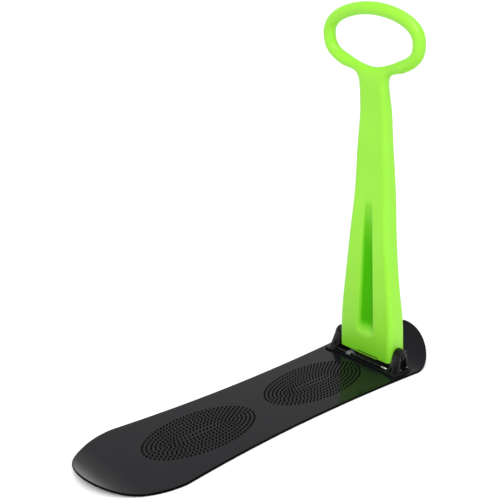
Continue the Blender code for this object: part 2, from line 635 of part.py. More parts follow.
# ------------------------------------------------------------ release pedal
def make_pedal():
    p = turned_y("release_pedal", [(PEDAL_TUBE_R, PEDAL_Y0), (PEDAL_TUBE_R, PEDAL_Y1)], ROD_X, ROD_Z, 24)
    bar = [(ROD_X, 0.0110), (0.3200, 0.0110), (0.3205, 0.0115), (0.3205, 0.0136), (0.3198, 0.0142), (ROD_X + 0.001, 0.0142)]
    adds = [prism_xz("bar", bar, PEDAL_Y0 + 0.0003, PEDAL_Y1 - 0.0003)]
    # the catch blade reaches back under the foot's lip; its top follows the lip's swing
    arm = [(0.3170, 0.0098), (0.3186, 0.0090), (CATCH_X1 - 0.0004, 0.0090), (CATCH_X1, 0.0094)]
    for k in range(6):
        x = CATCH_X1 + (CATCH_X0 - CATCH_X1) * k / 5
        arm.append((x, PIVOT_Z - math.sqrt(CATCH_R ** 2 - (x - PIVOT_X) ** 2)))
    arm += [(CATCH_X0 - 0.0008, 0.0156), (0.3209, 0.0146), (0.3170, 0.0136)]
    adds.append(prism_xz("arm", arm, -0.032, 0.032))
    for k in range(-3, 1):                           # toe ribs
        y = 0.0120 + 0.0205 * k
        rib = [(0.3068, 0.0100), (0.3100, 0.0100), (0.3185, 0.0118), (0.3198, 0.0124), (0.3198, 0.0148),
               (0.3192, 0.0152), (0.3092, 0.0152), (0.3068, 0.0132)]
        adds.append(prism_xz("rib", rib, y - 0.0017, y + 0.0017))
    boolean(p, adds, "UNION")
    boolean(p, [turned_y("rb", [(ROD_R + GAP, -0.2), (ROD_R + GAP, 0.2)], ROD_X, ROD_Z, 16)], "DIFFERENCE")
    out = [finish(p, BLACK_NYLON, 30, (ROD_X, 0, ROD_Z))]

    # grey toe tab, clipped over the bar near its left end
    w = TAB_HW
    top = [(0.3198, 0.0150), (0.3198, 0.0155), (0.3190, 0.0160), (0.3086, 0.0160), (0.3056, 0.0150),
           (0.3040, 0.0132), (0.3035, 0.0112), (0.3038, 0.0101), (0.3048, 0.0097), (0.3060, 0.0101),
           (0.3063, 0.0114), (0.3068, 0.0128), (0.3080, 0.0141), (0.3096, 0.0149), (0.3112, 0.0150)]
    tab = prism_xz("release_tab", top, TAB_Y - w, TAB_Y + w)
    # round the tab's four corners in plan
    cc = []
    for sy in (-1, 1):
        for (xc, sx) in ((0.3198, 1),):
            r = 0.004
            cx, cy = xc - sx * r, TAB_Y + sy * (w - r)
            pts = [(xc + sx * 0.001, TAB_Y + sy * (w + 0.001)), (xc + sx * 0.001, cy)]
            pts += [(cx + sx * r * math.cos(a), cy + sy * r * math.sin(a))
                    for a in [math.pi / 2 * k / 5 for k in range(6)]]
            pts += [(cx, TAB_Y + sy * (w + 0.001))]
            cc.append(loft_obj("corner", [[(x, y, 0.005) for x, y in pts], [(x, y, 0.020) for x, y in pts]]))
    boolean(tab, cc, "DIFFERENCE")
    out.append(finish(tab, GREY, 30, (ROD_X, 0, ROD_Z)))

    rod = turned_y("pedal_rod", [(ROD_R - 0.0005, -0.0869), (ROD_R, -0.0864), (ROD_R, 0.0864), (ROD_R - 0.0005, 0.0869)],
                   ROD_X, ROD_Z, 16)
    out.append(finish(rod, STEEL, 30))
    return out


def make_spring():
    """Torsion spring round the rod between the pedal and the right ear."""
    y0, y1 = -0.0632, -0.0792
    zl = ROD_Z - COIL_R                              # one leg bears under the pedal's bar
    pts = [Vector((0.3175, -0.0575, zl + 0.0013)), Vector((0.3175, -0.0595, zl + 0.0010)),
           Vector((0.3174, -0.0617, zl + 0.0006)), Vector((0.3165, -0.0626, zl + 0.0002)),
           Vector((0.3140, -0.0629, zl))]
    n = 14
    total = COIL_TURNS * n
    for k in range(total + 1):
        a = -math.pi / 2 - 2 * math.pi * k / n
        pts.append(Vector((ROD_X + COIL_R * math.cos(a), y0 + (y1 - y0) * k / total, ROD_Z + COIL_R * math.sin(a))))
    # the other rests on the plate's front bar
    pts += [Vector((0.3085, y1 - 0.0004, zl + 0.0009)), Vector((0.3062, y1 - 0.0006, 0.01030)),
            Vector((0.3036, y1 - 0.0007, 0.01030))]
    m = 6
    rings = []
    for i, p in enumerate(pts):
        t = (pts[min(i + 1, len(pts) - 1)] - pts[max(i - 1, 0)]).normalized()
        u = Vector((0, 1, 0))
        if abs(t.y) > 0.8:
            u = Vector((0, 0, 1))
        u = (u - t * u.dot(t)).normalized()
        if i and prev is not None:                   # carry the frame along the wire
            u = (prev - t * prev.dot(t)).normalized()
        prev = u
        v = t.cross(u)
        rings.append([p + (u * math.cos(2 * math.pi * j / m) + v * math.sin(2 * math.pi * j / m)) * WIRE_R
                      for j in range(m)])
    s = loft_obj("pedal_spring", rings)
    return finish(s, STEEL, 60)


# ------------------------------------------------------------ fasteners
def make_fasteners():
    out = []
    for i, (x, y) in enumerate(SCREW_POS):
        sc = turned_z("base_screw_%d" % (i + 1), [
            (0.0050, 0.0004), (0.0050, 0.0008), (SCREW_R, 0.0034), (SCREW_R, 0.0140), (SCREW_R - 0.0005, 0.0145)], x, y)
        cross = box("cx", x - 0.0022, x + 0.0022, y - 0.0005, y + 0.0005, -0.001, 0.0016)
        cross2 = box("cy", x - 0.0005, x + 0.0005, y - 0.0022, y + 0.0022, -0.001, 0.0016)
        boolean(sc, [cross, cross2], "DIFFERENCE")
        out.append(finish(sc, STEEL, 30))
        zb = DECK_T + GAP + BASE_T + GAP
        rn = NUT_AF / math.sqrt(3)
        nut = loft_obj("base_nut_%d" % (i + 1), [[(x + rn * math.cos(math.pi / 3 * k), y + rn * math.sin(math.pi / 3 * k), z)
                                                  for k in range(6)] for z in (zb, zb + 0.0038)])
        boolean(nut, [turned_z("nb", [(SCREW_R + GAP, zb - 0.01), (SCREW_R + GAP, zb + 0.01)], x, y)], "DIFFERENCE")
        out.append(finish(nut, BLACK_STEEL, 25))
    for i, (y, s) in enumerate(FOOT_SCREWS):
        face = half_depth(s - 0.0045) + centre_x(s) + GAP
        prof = [(0.0030, face + 0.0026), (0.0043, face + 0.0018), (0.0046, face), (0.0020, face), (0.0020, 0.0085),
                (0.0012, 0.0072)]
        rings = []
        for r, x in prof:
            rings.append([place(x, y + r * math.cos(2 * math.pi * k / 16), s + r * math.sin(2 * math.pi * k / 16))
                          for k in range(16)])
        sc = loft_obj("foot_screw_%d" % (i + 1), rings)
        out.append(finish(sc, STEEL, 30, (PIVOT_X, 0, PIVOT_Z)))
    return out


prev = None
make_deck()
make_base()
handle_parts = [make_handle(), make_foot()]
pivot_parts = make_pivot()
pedal_parts = make_pedal()
make_spring()
fasteners = make_fasteners()

# empties on the two joint axes carry the moving pieces
fold_axis = bpy.data.objects.new("fold_axis", None)
fold_axis.location = (PIVOT_X, 0, PIVOT_Z)
COLL.objects.link(fold_axis)
pedal_axis = bpy.data.objects.new("pedal_axis", None)
pedal_axis.location = (ROD_X, 0, ROD_Z)
COLL.objects.link(pedal_axis)
bpy.context.view_layer.update()
for ob in bpy.data.objects:
    if ob.type != "MESH":
        continue
    if ob.name in {"handle", "handle_foot"} or ob.name.startswith(("pivot_bush", "foot_screw")):
        ob.parent = fold_axis
        ob.location = (0, 0, 0)
    elif ob.name in {"release_pedal", "release_tab"}:
        ob.parent = pedal_axis
        ob.location = (0, 0, 0)
bpy.context.view_layer.update()
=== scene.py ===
import json
import math

import bmesh
import bpy
import numpy as np
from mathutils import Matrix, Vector
from mathutils.bvhtree import BVHTree


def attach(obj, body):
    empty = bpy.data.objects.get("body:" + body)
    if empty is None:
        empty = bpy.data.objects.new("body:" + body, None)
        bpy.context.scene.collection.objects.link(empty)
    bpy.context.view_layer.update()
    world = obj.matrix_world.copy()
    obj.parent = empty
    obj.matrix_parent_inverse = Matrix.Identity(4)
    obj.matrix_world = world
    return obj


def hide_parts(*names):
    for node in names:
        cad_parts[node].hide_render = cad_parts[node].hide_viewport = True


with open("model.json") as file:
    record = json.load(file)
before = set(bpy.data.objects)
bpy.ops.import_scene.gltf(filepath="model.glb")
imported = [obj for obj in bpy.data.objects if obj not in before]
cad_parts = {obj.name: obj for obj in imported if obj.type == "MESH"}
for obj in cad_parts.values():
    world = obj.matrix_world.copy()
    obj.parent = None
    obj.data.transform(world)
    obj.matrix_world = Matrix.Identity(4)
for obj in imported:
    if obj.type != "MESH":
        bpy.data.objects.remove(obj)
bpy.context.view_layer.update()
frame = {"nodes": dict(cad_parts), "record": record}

nodes = frame["nodes"]
scene = bpy.context.scene
COLL = scene.collection
scene.view_settings.view_transform = "Standard"

# ------------------------------------------------------------ dimensions, as in the CAD
DECK_LEN, DECK_T = 0.950, 0.005
WAIST_HW, TAIL_HW, NOSE_HW = 0.1121, 0.1310, 0.1261
TAIL_WIDE_X, NOSE_WIDE_X = -0.3186, 0.3725
TAIL_EXP, NOSE_EXP = 1.99, 1.84
TAIL_UP_X, TAIL_UP, TAIL_UP_EXP = -0.3977, 0.0179, 2.0
NOSE_UP_X, NOSE_UP, NOSE_UP_EXP = 0.3680, 0.0590, 1.8
CHANNEL_Y, CHANNEL_HW, CHANNEL_D = 0.045, 0.006, 0.0013
CHANNEL_X0, CHANNEL_X1 = -0.350, 0.270
SCREW_POS = [(0.3282, 0.1055), (0.3282, -0.1055), (0.3520, 0.1050),
             (0.3520, -0.1050), (0.3662, 0.0400), (0.3662, -0.0400)]
PAD_A, PAD_B = 0.1387, 0.0701
PAD_X = {"rear": -0.188, "front": 0.146}

PIVOT_X, PIVOT_Z = 0.3430, 0.0410
BUSH_R = 0.0063
HANDLE_X, HANDLE_Z = 0.3482, 0.0223
TILT = math.radians(-3.35)
STATIONS = [(0.00, 0.0798, 0.0296, -0.0011), (0.10, 0.0778, 0.0258, -0.0016), (0.20, 0.0674, 0.0233, -0.0016),
            (0.30, 0.0571, 0.0228, 0.0016), (0.40, 0.0493, 0.0210, 0.0078), (0.50, 0.0440, 0.0180, 0.0076),
            (0.60, 0.0377, 0.0148, 0.0062), (0.70, 0.0310, 0.0140, 0.0060)]
CORNER_R = 0.0125
WALL = 0.0030
NECK_S, COLUMN_TOP_S = 0.640, 0.682
RING_S, RING_A = 0.7538, 0.1262
RING_UP, RING_DOWN, RING_EXP, RING_TUBE, RING_X = 0.0577, 0.0824, 1.946, 0.0139, -0.0040
RING_LOW_Y, RING_LOW_Z, RING_LEAN, NECK_X = 2.458, 0.5687, 0.0527, 0.0003
GROOVE_S0, GROOVE_S1 = 0.044, 0.400
SLOT_S0, SLOT_S1, SLOT_Y0, SLOT_Y1 = 0.0027, 0.0059, -0.0440, 0.0215
GROOVE_HW0, GROOVE_HW1 = 0.0305, 0.0135
GROOVE_D = 0.0090
FOOT_SCREWS = [(0.028, 0.034), (-0.028, 0.034), (0.056, 0.034), (-0.056, 0.034)]


# ------------------------------------------------------------ mesh helpers
def new_object(name, bm, mats, smooth=35.0):
    bmesh.ops.recalc_face_normals(bm, faces=bm.faces[:])
    me = bpy.data.meshes.new(name)
    bm.to_mesh(me)
    bm.free()
    for m in (mats if isinstance(mats, (list, tuple)) else [mats]):
        me.materials.append(m)
    me.shade_smooth()
    me.set_sharp_from_angle(angle=math.radians(smooth))
    ob = bpy.data.objects.new(name, me)
    COLL.objects.link(ob)
    return ob


def loft(bm, rings, cap=True, closed=False):
    vs = [[bm.verts.new(p) for p in r] for r in rings]
    n = len(vs[0])
    pairs = list(zip(vs[:-1], vs[1:]))
    if closed:
        pairs.append((vs[-1], vs[0]))
    for a, b in pairs:
        for i in range(n):
            j = (i + 1) % n
            bm.faces.new((a[i], a[j], b[j], b[i]))
    if cap and not closed:
        bm.faces.new(vs[0])
        bm.faces.new(vs[-1])


def turned(bm, profile, cx, cy, axis="z", segs=32):
    rings = []
    for r, h in profile:
        ring = []
        for k in range(segs):
            a = 2 * math.pi * k / segs
            c, s = r * math.cos(a), r * math.sin(a)
            ring.append((cx + c, cy + s, h) if axis == "z" else (cx + c, h, cy + s))
        rings.append(ring)
    loft(bm, rings)


def cutter(bm):
    bmesh.ops.recalc_face_normals(bm, faces=bm.faces[:])
    me = bpy.data.meshes.new("cut")
    bm.to_mesh(me)
    bm.free()
    ob = bpy.data.objects.new("cut", me)
    COLL.objects.link(ob)
    return ob


def cut(ob, tool, solver="EXACT"):
    m = ob.modifiers.new("cut", "BOOLEAN")
    m.operation = "DIFFERENCE"
    m.solver = solver
    m.object = tool
    bpy.context.view_layer.update()
    dg = bpy.context.evaluated_depsgraph_get()
    me = bpy.data.meshes.new_from_object(ob.evaluated_get(dg))
    ob.modifiers.clear()
    ob.data = me
    bpy.data.objects.remove(tool, do_unlink=True)


# ------------------------------------------------------------ materials
class Graph:
    def __init__(self, name):
        self.mat = bpy.data.materials.new(name)
        self.mat.use_nodes = True
        self.t = self.mat.node_tree
        self.b = self.t.nodes["Principled BSDF"]
        self.pos = self.add("ShaderNodeTexCoord").outputs["Object"]

    def add(self, kind, **props):
        n = self.t.nodes.new(kind)
        for k, v in props.items():
            setattr(n, k, v)
        return n

    def link(self, a, b):
        self.t.links.new(a, b)

    def scaled(self, v):
        m = self.add("ShaderNodeMapping")
        m.inputs["Scale"].default_value = v
        self.link(self.pos, m.inputs["Vector"])
        return m.outputs["Vector"]

    def noise(self, scale, detail=3.0, rough=0.5, vec=None, distortion=0.0):
        n = self.add("ShaderNodeTexNoise")
        n.inputs["Scale"].default_value = scale
        n.inputs["Detail"].default_value = detail
        n.inputs["Roughness"].default_value = rough
        n.inputs["Distortion"].default_value = distortion
        self.link(vec or self.pos, n.inputs["Vector"])
        return n.outputs["Fac"]

    def remap(self, src, a, b, c, d):
        n = self.add("ShaderNodeMapRange")
        n.inputs["From Min"].default_value = a
        n.inputs["From Max"].default_value = b
        n.inputs["To Min"].default_value = c
        n.inputs["To Max"].default_value = d
        self.link(src, n.inputs["Value"])
        return n.outputs["Result"]

    def math(self, op, a, b):
        n = self.add("ShaderNodeMath", operation=op)
        for i, v in enumerate((a, b)):
            if isinstance(v, (int, float)):
                n.inputs[i].default_value = v
            else:
                self.link(v, n.inputs[i])
        return n.outputs[0]

    def mix(self, fac, a, b):
        n = self.add("ShaderNodeMix", data_type="RGBA")
        if isinstance(fac, (int, float)):
            n.inputs["Factor"].default_value = fac
        else:
            self.link(fac, n.inputs["Factor"])
        for sock, v in (("A", a), ("B", b)):
            s = [i for i in n.inputs if i.name == sock and i.type == "RGBA"][0]
            if isinstance(v, tuple):
                s.default_value = (*v, 1.0)
            else:
                self.link(v, s)
        return [o for o in n.outputs if o.type == "RGBA"][0]

    def bump(self, height, strength, distance, normal=None):
        n = self.add("ShaderNodeBump")
        n.inputs["Strength"].default_value = strength
        n.inputs["Distance"].default_value = distance
        self.link(height, n.inputs["Height"])
        if normal is not None:
            self.link(normal, n.inputs["Normal"])
        return n.outputs["Normal"]


def plastic(name, col, col2, rough, peel=420.0, peel_amt=0.05, spec=0.5, wear=0.0, speck=0.0):
    """Moulded plastic: slight colour drift, an orange-peel skin, patchy gloss and fine scuffs."""
    g = Graph(name)
    drift = g.noise(9.0, 3.0)
    fac = g.remap(drift, 0.35, 0.65, 0.0, 1.0)
    colour = g.mix(fac, col, col2)
    scuff = g.noise(60.0, 6.0, 0.62, vec=g.scaled((1.0, 3.2, 1.0)), distortion=0.4)
    scuff_m = g.remap(scuff, 0.60, 0.74, 0.0, 1.0)
    if speck:
        colour = g.mix(g.math("MULTIPLY", scuff_m, speck), colour, tuple(min(1.0, c * 1.6 + 0.02) for c in col))
    g.link(colour, g.b.inputs["Base Color"])
    patch = g.noise(14.0, 4.0)
    r1 = g.remap(patch, 0.3, 0.7, rough * 0.88, rough * 1.14)
    r2 = g.math("ADD", r1, g.math("MULTIPLY", scuff_m, wear))
    g.link(r2, g.b.inputs["Roughness"])
    g.b.inputs["Specular IOR Level"].default_value = spec
    n1 = g.bump(g.noise(peel, 2.0), peel_amt, 0.0004)
    g.link(n1, g.b.inputs["Normal"])
    return g


def lime(name, spec):
    g = plastic(name, (0.262, 0.672, 0.034), (0.272, 0.688, 0.040), 0.33, peel=300.0, peel_amt=0.06,
                spec=spec, wear=0.05)
    # painted shade: where the point attribute is high (the recess, the inside of the slot, low on the front face near
    # the deck) the colour is mixed towards a darker, deeper green with no blue. The blue in the lime colour itself is
    # partly a painted sheen standing in for the pale reflection haze on the open faces.
    src = g.b.inputs["Base Color"].links[0].from_socket
    att = g.add("ShaderNodeAttribute", attribute_name="recess")
    painted_shade_colour = g.mix(att.outputs["Fac"], src, (0.055, 0.42, 0.0))
    g.link(painted_shade_colour, g.b.inputs["Base Color"])
    return g.mat


def steel(name, col, rough, metal=1.0, turned_axis=None):
    """Plated steel: fine turning lines, faint tarnish and uneven polish."""
    g = Graph(name)
    tarn = g.noise(160.0, 4.0)
    dark = tuple(c * 0.72 for c in col)
    g.link(g.mix(g.remap(tarn, 0.42, 0.68, 0.0, 0.8), col, dark), g.b.inputs["Base Color"])
    g.b.inputs["Metallic"].default_value = metal
    line = g.noise(900.0, 2.0, vec=g.scaled((1.0, 0.08, 1.0)))
    g.link(g.remap(line, 0.3, 0.7, rough * 0.75, rough * 1.3), g.b.inputs["Roughness"])
    g.link(g.bump(line, 0.10, 0.0001), g.b.inputs["Normal"])
    return g.mat


DECK_MAT = plastic("black_hdpe_look", (0.0050, 0.0048, 0.0068), (0.0062, 0.0060, 0.0082), 0.15, peel=240.0,
                   peel_amt=0.030, spec=0.17, wear=0.10, speck=0.06).mat
# darker, duller copy of the deck plastic for the rim and the underside: painted shade along the edge
RIM_SHADE_MAT = plastic("black_hdpe_rim_shade", (0.0010, 0.0010, 0.0012), (0.0014, 0.0014, 0.0017), 0.45, peel=600.0,
                   peel_amt=0.04, spec=0.02).mat
# the nubs are the deck plastic made darker and duller: their dark dots are painted shade; also used for the painted
# shadow strip in the slot
NUB_AND_SLOT_SHADE_MAT = plastic("black_hdpe_nub_shade_look", (0.0008, 0.0008, 0.0010), (0.0014, 0.0014, 0.0017), 0.60, peel=900.0,
                  peel_amt=0.05, spec=0.03, wear=0.04).mat
NYLON_MAT = plastic("black_nylon_look", (0.0030, 0.0028, 0.0036), (0.0042, 0.0040, 0.0050), 0.27, peel=700.0,
                    peel_amt=0.05, spec=0.24, wear=0.10, speck=0.05).mat
LIME_MAT = lime("lime_hdpe_look", 0.28)
# shaded copies of the lime with weaker reflection, for the painted shade in the recess
LIME_HALF_SHADE_MAT = lime("lime_hdpe_painted_half_shade_look", 0.15)
LIME_DEEP_SHADE_MAT = lime("lime_hdpe_painted_deep_shade_look", 0.03)
GREY_MAT = plastic("grey_plastic_look", (0.095, 0.095, 0.102), (0.115, 0.115, 0.122), 0.38, peel=600.0, peel_amt=0.06,
                   wear=0.10).mat
NATURAL_MAT = plastic("natural_nylon_look", (0.70, 0.68, 0.61), (0.64, 0.61, 0.53), 0.42, peel=500.0, peel_amt=0.05).mat
STEEL_MAT = steel("zinc_steel_look", (0.42, 0.42, 0.41), 0.30)
BLACK_STEEL_MAT = steel("black_steel_look", (0.020, 0.020, 0.022), 0.34, metal=0.85)

SLOT_MAT = {"zinc_steel": STEEL_MAT, "black_steel": BLACK_STEEL_MAT, "natural_nylon": NATURAL_MAT,
            "black_nylon": NYLON_MAT, "lime_hdpe": LIME_MAT, "grey_plastic": GREY_MAT, "black_hdpe": DECK_MAT}
for row in frame["record"]["subparts"]:
    ob = nodes[row["node"]]
    m = SLOT_MAT[row["material_slot"]]
    if not ob.data.materials:
        ob.data.materials.append(m)
    for k in range(len(ob.material_slots)):
        ob.material_slots[k].material = m


# ------------------------------------------------------------ deck
def deck_half_width(x):
    h = DECK_LEN / 2
    if x < TAIL_WIDE_X:
        u = min(1.0, (TAIL_WIDE_X - x) / (TAIL_WIDE_X + h))
        return TAIL_HW * max(0.0, 1 - u ** TAIL_EXP) ** (1 / TAIL_EXP)
    if x > NOSE_WIDE_X:
        u = min(1.0, (x - NOSE_WIDE_X) / (h - NOSE_WIDE_X))
        return NOSE_HW * max(0.0, 1 - u ** NOSE_EXP) ** (1 / NOSE_EXP)
    s = (x - 0.5 * (TAIL_WIDE_X + NOSE_WIDE_X)) / (0.5 * (NOSE_WIDE_X - TAIL_WIDE_X))
    side = TAIL_HW if s < 0 else NOSE_HW
    return WAIST_HW + (side - WAIST_HW) * s * s


def deck_rise(x):
    h = DECK_LEN / 2
    if x < TAIL_UP_X:
        return TAIL_UP * ((TAIL_UP_X - x) / (TAIL_UP_X + h)) ** TAIL_UP_EXP
    if x > NOSE_UP_X:
        return NOSE_UP * ((x - NOSE_UP_X) / (h - NOSE_UP_X)) ** NOSE_UP_EXP
    return 0.0


def deck_outline():
    """Half outline from the tail tip to the nose tip, evenly stepped along its length."""
    h = DECK_LEN / 2
    raw = []
    for k in range(401):
        a = math.pi / 2 * k / 400
        raw.append(-h + (TAIL_WIDE_X + h) * (1 - math.cos(a)))
    for k in range(1, 400):
        raw.append(TAIL_WIDE_X + (NOSE_WIDE_X - TAIL_WIDE_X) * k / 400)
    for k in range(400, -1, -1):
        a = math.pi / 2 * k / 400
        raw.append(h - (h - NOSE_WIDE_X) * (1 - math.cos(a)))
    pts = np.array([(x, deck_half_width(x)) for x in raw])
    seg = np.hypot(*np.diff(pts, axis=0).T)
    s = np.concatenate([[0], np.cumsum(seg)])
    n = 250
    t = np.linspace(0, s[-1], n + 1)
    out = np.stack([np.interp(t, s, pts[:, 0]), np.interp(t, s, pts[:, 1])], 1)
    out[0] = (-h, 0)
    out[-1] = (h, 0)
    return out


# edge profile from the underside to the top: (inset, height), with a fine parting line
RIM = [(0.0024, 0.0), (0.0016, 0.00004), (0.0010, 0.00022), (0.00055, 0.00052), (0.00022, 0.00095), (0.00004, 0.00150),
       (0.0, 0.00205), (0.00004, 0.00232), (0.00034, 0.00248), (0.00034, 0.00268), (0.00004, 0.00284), (0.0, 0.0031),
       (0.00005, 0.0036), (0.00022, 0.00408), (0.00055, 0.00450), (0.0010, 0.00479), (0.0016, 0.00496), (0.0024, 0.0050)]


def make_deck():
    half = deck_outline()
    n = len(half) - 1
    full = np.concatenate([half, (half * (1, -1))[-2:0:-1]])
    nxt, prv = np.roll(full, -1, 0), np.roll(full, 1, 0)
    tan = nxt - prv
    tan /= np.linalg.norm(tan, axis=1)[:, None]
    inward = np.stack([tan[:, 1], -tan[:, 0]], 1)
    cnt = len(full)

    def level(d, z):
        p = full + inward * d
        return [(float(x), float(y), deck_rise(float(x)) + z) for x, y in p]

    def inner(f, z):
        p = full + inward * 0.0024
        y = p[:, 1] * (1 - f)
        return [(float(x), float(yy), deck_rise(float(x)) + z) for (x, _), yy in zip(p, y)]

    bm = bmesh.new()
    rings = []
    for f in (0.80, 0.55, 0.30, 0.12):
        rings.append(inner(f, 0.0))
    rings += [level(d, z) for d, z in RIM]
    for f in (0.06, 0.15, 0.28, 0.42, 0.57, 0.72, 0.87):
        rings.append(inner(f, DECK_T))
    vs = [[bm.verts.new(p) for p in r] for r in rings]
    for a, b in zip(vs[:-1], vs[1:]):
        for i in range(cnt):
            j = (i + 1) % cnt
            bm.faces.new((a[i], a[j], b[j], b[i]))
    for ring in (vs[0], vs[-1]):                     # close across the centre line
        for i in range(n):
            q = [ring[i], ring[i + 1], ring[(cnt - i - 1) % cnt], ring[(cnt - i) % cnt]]
            u = []
            for v in q:
                if v not in u:
                    u.append(v)
            if len(u) > 2:
                bm.faces.new(u)
    bmesh.ops.remove_doubles(bm, verts=bm.verts[:], dist=2e-5)
    bmesh.ops.dissolve_degenerate(bm, dist=1e-6, edges=bm.edges[:])
    ob = new_object("deck_shell", bm, DECK_MAT, 40)
    bm = bmesh.new()
    for x, y in SCREW_POS:
        turned(bm, [(0.0056, -0.0020), (0.0056, 0.0004), (0.0028, 0.0032), (0.0028, DECK_T + 0.002)], x, y, segs=24)
    for sgn in (-1, 1):
        y0 = sgn * CHANNEL_Y
        outl = []
        for cx, a0 in ((CHANNEL_X1, -math.pi / 2), (CHANNEL_X0, math.pi / 2)):
            for k in range(13):
                a = a0 + math.pi * k / 12
                outl.append((cx, y0, math.cos(a), math.sin(a)))
        loft(bm, [[(x + c * (CHANNEL_HW + e), y + s * (CHANNEL_HW + e), z) for x, y, c, s in outl]
                  for z, e in ((-0.002, 0.0006), (0.0, 0.0005), (CHANNEL_D * 0.7, -0.0002), (CHANNEL_D, -0.0012))])
    cut(ob, cutter(bm))
    ob.data.materials.clear()
    ob.data.materials.append(DECK_MAT)
    ob.data.materials.append(RIM_SHADE_MAT)
    for p in ob.data.polygons:                       # the edge and the underside get a darker, duller copy: painted shade along the rim
        x, _, z = p.center
        p.material_index = 1 if z < deck_rise(x) + DECK_T - 0.00012 else 0
    ob.data.shade_smooth()
    ob.data.set_sharp_from_angle(angle=math.radians(40))
    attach(ob, "board")
    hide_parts("deck")
    return ob


def ellipse_points(a, b, step, phase):
    """Points at an even spacing along an ellipse."""
    th = np.linspace(0, 2 * math.pi, 1441)
    x, y = a * np.cos(th), b * np.sin(th)
    s = np.concatenate([[0], np.cumsum(np.hypot(np.diff(x), np.diff(y)))])
    n = max(3, int(round(s[-1] / step)))
    t = (np.arange(n) + phase) * s[-1] / n
    return list(zip(np.interp(t % s[-1], s, x), np.interp(t % s[-1], s, y)))


def make_pad(which):
    """Oval foot pad: rings of small raised nubs."""
    cx = PAD_X[which]
    pts = []
    pitch = 0.00955
    k = 0
    while PAD_B - k * pitch > 0.0040:
        pts += ellipse_points(PAD_A - k * pitch, PAD_B - k * pitch, 0.0092, 0.5 * (k % 2))
        k += 1
    b_last = PAD_B - k * pitch
    a_last = PAD_A - k * pitch
    if b_last > -0.003 and a_last > 0.01:            # a last straight row along the middle
        m = int(2 * a_last / 0.0092)
        pts += [(-a_last + 2 * a_last * (i + 0.5) / m, 0.0) for i in range(m)]
    bm = bmesh.new()
    segs = 10
    prof = [(NUB_R * 1.10, -0.0006), (NUB_R * 1.10, 0.00003), (NUB_R * 0.98, 0.00018), (NUB_R * 0.90, NUB_H * 0.62),
            (NUB_R * 0.74, NUB_H * 0.90), (NUB_R * 0.42, NUB_H)]
    for x, y in pts:
        turned(bm, [(r, DECK_T + z) for r, z in prof], cx + x, y, segs=segs)
    ob = new_object("foot_pad_" + which, bm, NUB_AND_SLOT_SHADE_MAT, 60)
    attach(ob, "board")
    return ob


NUB_R, NUB_H = 0.00225, 0.0021

# ------------------------------------------------------------ handle
UP = Vector((math.sin(TILT), 0, math.cos(TILT)))
NX = Vector((math.cos(TILT), 0, -math.sin(TILT)))
H0 = Vector((HANDLE_X, 0, HANDLE_Z))


def place(x, y, s):
    return H0 + NX * x + UP * s + Vector((0, y, 0))


def smooth(t):
    t = min(1.0, max(0.0, t))
    return t * t * (3 - 2 * t)


def station(s, col):
    s = min(max(s, 0.0), STATIONS[-1][0])
    i = min(int(s / 0.1), len(STATIONS) - 2)
    p0, p3 = STATIONS[max(i - 1, 0)][col], STATIONS[min(i + 2, len(STATIONS) - 1)][col]
    p1, p2 = STATIONS[i][col], STATIONS[i + 1][col]
    t = (s - STATIONS[i][0]) / 0.1
    m1 = 0.5 * (p2 - p0) if i else p2 - p1
    m2 = 0.5 * (p3 - p1) if i + 2 < len(STATIONS) else p2 - p1
    return ((2 * t ** 3 - 3 * t * t + 1) * p1 + (t ** 3 - 2 * t * t + t) * m1
            + (3 * t * t - 2 * t ** 3) * p2 + (t ** 3 - t * t) * m2)


def half_width(s):
    w = station(s, 1) + 0.0013 * smooth(s / 0.09)
    if s > NECK_S - 0.012:
        t = (s - NECK_S + 0.012) / (COLUMN_TOP_S - NECK_S + 0.012)
        w += 0.021 * t ** 2.2
    return w


def half_depth(s):
    return station(s, 2) + 0.0010 * smooth((s - 0.52) / 0.10)


def centre_x(s):
    k = smooth((s - 0.58) / 0.10)
    return (station(s, 3) + 0.0028 * smooth((s - 0.50) / 0.09)) * (1 - k) + NECK_X * k


def groove_shape(y, s):
    """0 outside the recess, 1 on its floor."""
    if s <= GROOVE_S0 or s >= GROOVE_S1:
        return 0.0
    t = (s - GROOVE_S0) / (GROOVE_S1 - GROOVE_S0)
    hw = GROOVE_HW0 + (GROOVE_HW1 - GROOVE_HW0) * t
    end = smooth((s - GROOVE_S0) / 0.044)
    fade = smooth((GROOVE_S1 - s) / 0.170)
    hw *= 0.55 + 0.45 * smooth((s - GROOVE_S0) / 0.022)
    u = abs(y) / hw
    if u >= 1.0:
        return 0.0
    return end * fade * smooth((1.0 - u) / 0.48)


def column_ring(s, inset, end_inset=0.0, front=64, corner=10, sides=4, back=16, recess=True):
    hw = half_width(s) - inset - end_inset
    hd = half_depth(s) - inset - end_inset
    rc = max(0.0015, CORNER_R - inset)
    cx = centre_x(s)
    pts = []
    for i in range(front + 1):
        y = (hw - rc) - 2 * (hw - rc) * i / front
        g = GROOVE_D * groove_shape(y, s) if recess else 0.0
        pts.append((-hd + g, y))

    def corner_arc(sx, sy, a0):
        for k in range(1, corner):
            a = a0 + math.pi / 2 * k / corner
            pts.append((sx * (hd - rc) + rc * math.cos(a), sy * (hw - rc) + rc * math.sin(a)))
    corner_arc(-1, -1, math.pi)
    for i in range(sides + 1):
        pts.append((-(hd - rc) + 2 * (hd - rc) * i / sides, -hw))
    corner_arc(1, -1, -math.pi / 2)
    for i in range(back + 1):
        pts.append((hd, -(hw - rc) + 2 * (hw - rc) * i / back))
    corner_arc(1, 1, 0.0)
    for i in range(sides + 1):
        pts.append(((hd - rc) - 2 * (hd - rc) * i / sides, hw))
    corner_arc(-1, 1, math.pi / 2)
    return [place(cx + x, y, s) for x, y in pts]


